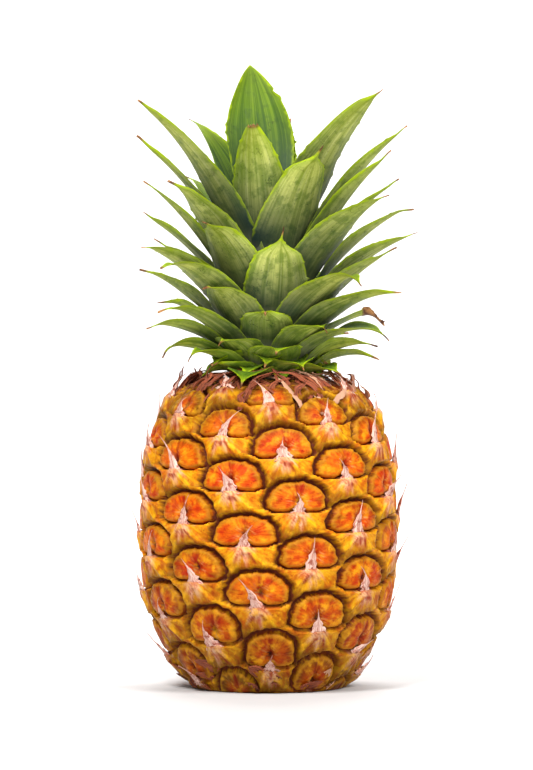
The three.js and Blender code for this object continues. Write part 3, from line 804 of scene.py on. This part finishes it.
def margin_push(t, wanted, dried, chance, nick):
    """How far each margin is pushed out: uneven, toothed, ragged where dried, and torn at a nick."""
    uneven = 0.0
    for j in range(6):
        uneven += np.sin(t[:, None] * (9 + 12 * j) + chance.uniform(0, 6.28, (1, 2))) / (1.5 + j)
    push = 0.28 * MM * uneven * (np.sin(np.pi * t) * np.clip(wanted / (4 * MM), 0, 1))[:, None]
    for _ in range(TEETH):
        push[int(chance.integers(14, LEAF_ALONG - 8)), int(chance.integers(0, 2))] += 0.6 * MM
    push += dried[:, None] * chance.uniform(-1.2 * MM, 0.6 * MM, push.shape)
    if nick:
        push[nick[0]:nick[0] + 2, nick[1]] -= 1.2 * MM
    return push


def leaf_faces():
    """Faces of a leaf, whose inner side has its own points between the margins and none on them."""
    outer_at = lambda i, j: i * LEAF_ACROSS + j
    inner_at = lambda i, j: (outer_at(i, j) if j in (0, LEAF_ACROSS - 1)
                             else LEAF_ALONG * LEAF_ACROSS + i * (LEAF_ACROSS - 2) + j - 1)
    return shell_faces(outer_at, inner_at, LEAF_ALONG, LEAF_ACROSS)


def give_leaf(piece, name, layers, inner_last=None):
    """Stores three layers of values over a leaf's outer face and again over its inner one."""
    outer = np.stack(np.broadcast_arrays(*layers), axis=-1)
    inner = outer[:, 1:-1].copy()
    if inner_last is not None:
        inner[..., 2] = inner_last
    give(piece, name, np.concatenate([outer.reshape(-1, 3), inner.reshape(-1, 3)]))


def leaf_mesh(name, sections, chance, spine, cut=0.992, dry_from=2.0, nick=None):
    """A fine closed leaf through coarse sections, its tip drawn in to a spine and uneven at its margins.

    Spine is the spine's length in metres, cut where the blade ends, as a share of its length, and
    dry_from where its dried end starts. A nick is the row and side of a tear in the margin.
    """
    middle, depth = sections.mean(axis=1), (sections[:, 0] - sections[:, 1]) / 2
    at = np.concatenate([[0], np.cumsum(np.linalg.norm(np.diff(middle[:, 2], axis=0), axis=1))])
    length = at[-1]
    t = cut * np.linspace(0, 1, LEAF_ALONG) ** 0.85
    left = length * (1 - t)
    dried = smooth(t, dry_from, dry_from + 0.03)
    u, weights = across_share()
    mid = np.einsum("uk,tkc->tuc", weights, eased_through(middle, at, length * t))
    thick = np.einsum("uk,tkc->tuc", weights, eased_through(depth, at, length * t))
    keel = mid[:, LEAF_ACROSS // 2]
    across = mid[:, -1] - mid[:, 0]
    half = np.maximum(np.linalg.norm(across, axis=1) / 2, 1e-6)
    side_way = across / (2 * half)[:, None]
    out_way = np.cross(side_way, unit(np.gradient(keel, axis=0)))
    out_way *= np.sign((out_way * thick[:, LEAF_ACROSS // 2]).sum())

    # the blade narrows in a hollow curve to the spine
    narrow = (0.25 + 0.75 * np.clip(left / max(spine, 1e-6), 0, 1) ** 0.7) * 0.75 * MM
    blade_share = smooth(left, spine * 0.55, spine + SPINE_NECK) if spine > 0 else np.ones_like(t)
    wanted = np.minimum(half, narrow * (1 - blade_share) + half * blade_share)
    mid = keel[:, None] + (mid - keel[:, None]) * (wanted / half)[:, None, None]
    thick *= (0.45 + 0.55 * np.clip(wanted / (2.5 * MM), 0, 1))[:, None, None]

    # its margins are uneven, the blade waves, and the spine bends
    push = margin_push(t, wanted, dried, chance, nick)
    near_edge = np.abs(u) ** 6 * np.sign(u)
    mid += (np.where(u < 0, push[:, :1], push[:, 1:]) * near_edge)[..., None] * side_way[:, None]
    wave = np.sin(t[:, None] * chance.uniform(8, 15) + 2.2 * u + chance.uniform(0, 6))
    height = smooth(t, 0.25, 0.6) * (0.6 * MM + 1.2 * MM * dried)
    mid += (wave * np.abs(u) ** 2 * height[:, None])[..., None] * out_way[:, None]
    bend = chance.uniform(-1.0, 2.6) * out_way + chance.uniform(-1.6, 1.6) * side_way
    bend *= MM if spine > 0 else 0
    mid += (smooth(-left, -spine - 7 * MM, 0) ** 2)[:, None, None] * bend[:, None]
    if dry_from < 1:
        curl = 7 * MM * smooth(t, dry_from, 1.0) ** 2
        mid += curl[:, None, None] * (0.7 * out_way + 0.5 * side_way)[:, None]
        mid[-1] += chance.uniform(-0.7 * MM, 0.7 * MM, (LEAF_ACROSS, 1)) * unit(keel[-1] - keel[-2])
    points = np.concatenate([(mid + thick).reshape(-1, 3), (mid - thick)[:, 1:-1].reshape(-1, 3)])
    piece = new_mesh(name, points, leaf_faces())

    # across, along and outer or inner face; then millimetres in from the margin, and how dried
    from_margin = wanted[:, None] / MM * (1 - np.abs(u))
    point = min(spine, SPINE_NECK)
    brown = np.maximum(dried, smooth(-left, -point, -0.5 * point) if spine > 0 else 0)
    give_leaf(piece, "leaf_place", [u, t[:, None], 1 - 0.5 * (np.abs(u) > 0.999)], 0)
    give_leaf(piece, "leaf_margin", [from_margin, brown[:, None], 0])
    return piece


leaf_green, tree = new_material("crown_leaf")
place, trait = stored(tree, "leaf_place"), stored(tree, "leaf_trait")
across_leaf, along_leaf, outer_face = parts(tree, place)
in_crown = parts(tree, trait)[1]
from_margin, browned, _ = parts(tree, stored(tree, "leaf_margin"))
shifted = tree.nodes.new("ShaderNodeVectorMath")
put(tree, place, shifted.inputs[0])
put(tree, trait, shifted.inputs[1])
own_place = shifted.outputs["Vector"]
lines = noise(tree, 22.0, 5, own_place, (1.0, 0.04, 1.0))
bands = noise(tree, 5.0, 4, own_place, (1.0, 0.20, 1.0))
rubbed = noise(tree, 260, 8)
worn = noise(tree, 95, 4)
spots = noise(tree, 900, 4)

# the outer face: pale bloom over green, worn off in lines, patches and spots, and fresher low down
low_down = ramp(tree, in_crown, 0.45, 0.12)
bloom = layer(tree, low_down, (0.56, 0.60, 0.145), (0.44, 0.53, 0.050))
plain = layer(tree, low_down, (0.28, 0.335, 0.050), (0.175, 0.290, 0.012))
outer = layer(tree, ramp(tree, bands, 0.38, 0.62), plain, bloom)
for share, shade in (
    (ramp(tree, lines, 0.52, 0.66, 0, 0.40), (0.62, 0.63, 0.27)),
    (ramp(tree, lines, 0.48, 0.36, 0, 0.40), (0.130, 0.200, 0.016)),
    (ramp(tree, worn, 0.50, 0.66, 0, 0.45), (0.115, 0.205, 0.010)),
    (ramp(tree, rubbed, 0.50, 0.64, 0, 0.60), (0.105, 0.180, 0.010)),
    (ramp(tree, spots, 0.60, 0.70, 0, 0.5), (0.060, 0.080, 0.010)),
):
    outer = layer(tree, share, outer, shade)

# the inner face: dark and clear green
inner = layer(tree, ramp(tree, bands, 0.35, 0.65), (0.028, 0.080, 0.004), (0.10, 0.185, 0.007))
inner = layer(tree, ramp(tree, lines, 0.50, 0.62, 0, 0.5), inner, (0.19, 0.29, 0.014))
inner = layer(tree, ramp(tree, rubbed, 0.54, 0.66, 0, 0.4), inner, (0.030, 0.075, 0.005))
base = layer(tree, ramp(tree, outer_face, 0.3, 0.7), inner, outer)

# crooked scratches, dark and thin, where the bloom is worn
crack = figure(tree, "ABSOLUTE", figure(tree, "SUBTRACT", noise(tree, 120, 9), 0.5))
scratch = figure(tree, "MULTIPLY", ramp(tree, crack, 0.010, 0.002), ramp(tree, worn, 0.52, 0.62))
base = layer(tree, figure(tree, "MULTIPLY", scratch, 0.8), base, (0.035, 0.060, 0.006))

# painted shade, darker down between the leaves; pale where they clasp the stem, and yellower towards tip
# and margins
from_keel = figure(tree, "ABSOLUTE", across_leaf)
shaded = figure(tree, "MULTIPLY", ramp(tree, along_leaf, 0.74, 0.30),
                ramp(tree, from_keel, 0.0, 0.9, 0.76, 1.0))
shaded = figure(tree, "MULTIPLY", shaded, ramp(tree, low_down, 0.0, 1.0, 1.0, 0.35))
at_tip = figure(tree, "MULTIPLY", ramp(tree, along_leaf, 0.70, 1.0, 0, 0.55),
                ramp(tree, in_crown, 0.985, 1.0, 1.0, 0.2))
wide_edge = figure(tree, "MULTIPLY", ramp(tree, from_margin, 3.6, 0.6, 0, 0.55),
                   ramp(tree, along_leaf, 0.30, 0.8))
in_margin = figure(tree, "SUBTRACT", from_margin, ramp(tree, rubbed, 0.35, 0.65, -0.3, 1.1))
bright_edge = figure(tree, "MULTIPLY", ramp(tree, in_margin, 0.7, -0.3),
                     ramp(tree, along_leaf, 0.30, 0.8, 0.45, 1.0))
dried_end = layer(tree, ramp(tree, rubbed, 0.42, 0.58), (0.40, 0.19, 0.065), (0.11, 0.040, 0.018))
for share, shade in (
    (shaded, (0.022, 0.042, 0.032)),
    (ramp(tree, along_leaf, 0.26, 0.10, 0, 0.85), (0.25, 0.25, 0.17)),
    (at_tip, (0.33, 0.39, 0.005)),
    (wide_edge, (0.190, 0.290, 0.004)),
    (bright_edge, (0.34, 0.46, 0.003)),
    (browned, dried_end),
):
    base = layer(tree, share, base, shade)
surface(tree, base, ramp(tree, rubbed, 0.4, 0.65, 0.60, 0.44), bump(tree, lines, 0.45, 0.0006), 0.18)


def give_trait(leaf, number, in_crown):
    """A leaf's own shift of its pattern, and its place in the crown, from 0 lowest to 1 topmost."""
    own = (number * GOLDEN_SHARE % 1 * 9, in_crown, number * 0.39 % 1 * 9)
    give(leaf, "leaf_trait", np.tile(own, (len(leaf.data.vertices), 1)))


# the topmost leaf is round and torn, one near it is worn off short and browned, a low one is dried up,
# and two in front have long spines
OWN_ENDS = {
    "crown_leaf_56": dict(spine=0, nick=(47, 0)),
    "crown_leaf_53": dict(spine=0, cut=0.958, dry_from=0.925),
    "crown_leaf_17": dict(spine=3 * MM, dry_from=0.74),
    "crown_leaf_49": dict(spine=9 * MM),
    "crown_leaf_31": dict(spine=9 * MM),
}
leaf_nodes = sorted(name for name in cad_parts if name.startswith("crown_leaf_"))
chance = np.random.default_rng(77)
for number, node in enumerate(leaf_nodes):
    end = {"spine": chance.uniform(3, 8) * MM, **OWN_ENDS.get(node, {})}
    leaf = leaf_mesh(node.replace("crown_leaf", "leaf"), leaf_sections(node), chance, **end)
    give_trait(leaf, number, number / (len(leaf_nodes) - 1))
    leaf.data.materials.append(leaf_green)
    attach(leaf, "root")
    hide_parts(node)


# The smallest leaves: short ones at the crown's foot, which droop over the top of the fruit, and the
# young ones at its heart, folded together over the end of the stem. They are the same as the others.
SMALL_STEPS = 9
GOLDEN_ANGLE = 137.5
FOOT_LEAVES, HEART_LEAVES = 15, 7


def small_sections(turn, path, width):
    """Sections of a small leaf along a curve of radii and heights, at one turn round the stem."""
    share = np.linspace(0, 1, SMALL_STEPS)[:, None]
    line = arch(*np.asarray(path) * MM, share)
    run = unit(np.gradient(line, axis=0))
    outward = np.stack([run[:, 1], -run[:, 0]], axis=-1)
    half = 0.5 * width * MM * np.abs(np.sin(np.pi * (0.25 + 0.75 * share))) ** 0.8
    half[-1] = 0
    u = np.linspace(-1, 1, 5)
    thick = 0.7 * MM * (1 - u**2) * np.minimum(half / (2 * MM), 1)
    faces = []
    for side_sign in (1, -1):
        off = side_sign * thick - 0.40 * u**2 * half
        radius = line[:, :1] + outward[:, :1] * off
        height = line[:, 1:] + outward[:, 1:] * off
        faces.append(np.stack([radius * math.sin(turn) + u * half * math.cos(turn),
                               -radius * math.cos(turn) + u * half * math.sin(turn), height], axis=-1))
    return np.stack(faces, axis=1)


stem_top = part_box("crown_stem")[1].z / MM
small_leaves = []
for number in range(FOOT_LEAVES):
    foot = 138.2 + 0.55 * number
    reach = chance.uniform(27, 37)
    droop = chance.uniform(-1.5, 3.5)
    path = [(8, foot), (reach * 0.62, foot + 7.5), (reach, foot + droop)]
    width = chance.uniform(17, 22)
    small_leaves.append(("foot_leaf", number + 1, GOLDEN_ANGLE * number + 12, path, width, 0.04))
for number in range(HEART_LEAVES):
    tall = 40 - 3.2 * number
    path = [(2.5, stem_top - 4), (8.5 + 0.5 * number, stem_top + 0.4 * tall),
            (1.5 + 1.6 * number, stem_top + 0.82 * tall)]
    width = 14 - 0.5 * number
    small_leaves.append(("heart_leaf", number + 1, GOLDEN_ANGLE * number + 60, path, width, 0.9))
for kind, number, degrees, path, width, in_crown in small_leaves:
    sections = small_sections(math.radians(degrees), path, width)
    leaf = leaf_mesh(f"{kind}_{number:02d}", sections, chance, chance.uniform(2, 4) * MM)
    give_trait(leaf, number, in_crown)
    leaf.data.materials.append(leaf_green)
    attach(leaf, "root")


# The studio: a sweep of pale paper, curved up from floor to wall, that soft lamps light until it is white.
# The fruit stands on it, in front of a long-lensed camera a little above its middle.
SWEEP_HALF, SWEEP_FRONT, SWEEP_BACK, SWEEP_BEND, SWEEP_TOP = 3.5, -3.0, 2.2, 0.8, 3.2
profile = [(SWEEP_FRONT, 0.0), (SWEEP_BACK, 0.0)]
for pitch in np.linspace(0.15, math.pi / 2, 12):
    profile.append((SWEEP_BACK + SWEEP_BEND * math.sin(pitch), SWEEP_BEND * (1 - math.cos(pitch))))
profile.append((SWEEP_BACK + SWEEP_BEND, SWEEP_TOP))
sweep_points = [(x, y, z) for y, z in profile for x in (-SWEEP_HALF, SWEEP_HALF)]
sweep_faces = [(k, k + 1, k + 3, k + 2) for k in range(0, 2 * len(profile) - 2, 2)]
sweep = new_mesh("studio_sweep", sweep_points, sweep_faces)
paper, tree = new_material("white_paper")
surface(tree, layer(tree, noise(tree, 8, 2), (0.60, 0.59, 0.585), (0.62, 0.61, 0.605)), 0.9)
sweep.data.materials.append(paper)

world = bpy.data.worlds.new("studio_daylight")
world.use_nodes = True
daylight = world.node_tree.nodes["Background"].inputs
daylight["Color"].default_value = (1, 1, 1, 1)
daylight["Strength"].default_value = 0.20
bpy.context.scene.world = world


def aimed(name, data, place, aim):
    """An object at a place, turned to look at another."""
    holder = bpy.data.objects.new(name, data)
    holder.location = place
    holder.rotation_euler = (Vector(aim) - Vector(place)).to_track_quat("-Z", "Y").to_euler()
    bpy.context.scene.collection.objects.link(holder)
    return holder


for name, place, aim, size, watts in (
    ("key_lamp", (-0.55, -1.15, 1.65), (0, 0, 0.14), 0.6, 38),
    ("fill_lamp", (0.95, -1.0, 1.4), (0, 0, 0.16), 0.7, 26),
    ("low_lamp", (0.1, -2.4, 0.5), (0, 0, 0.14), 0.8, 12),
    ("wall_lamp", (0, 1.0, 1.9), (0, 2.6, 0.3), 1.6, 115),
):
    lamp = bpy.data.lights.new(name, "AREA")
    lamp.shape = "DISK"
    lamp.size = size
    lamp.energy = watts
    aimed(name, lamp, place, aim)

SENSOR, VIEW_DEGREES, CAMERA_X = 36, 9.9, -0.0009
view = bpy.data.cameras.new("camera")
view.sensor_fit = "VERTICAL"
view.sensor_height = SENSOR
view.lens = SENSOR / 2 / math.tan(math.radians(VIEW_DEGREES / 2))
bpy.context.scene.camera = aimed("camera", view, (CAMERA_X, -2.0, 0.175), (CAMERA_X, 0, 0.1359))
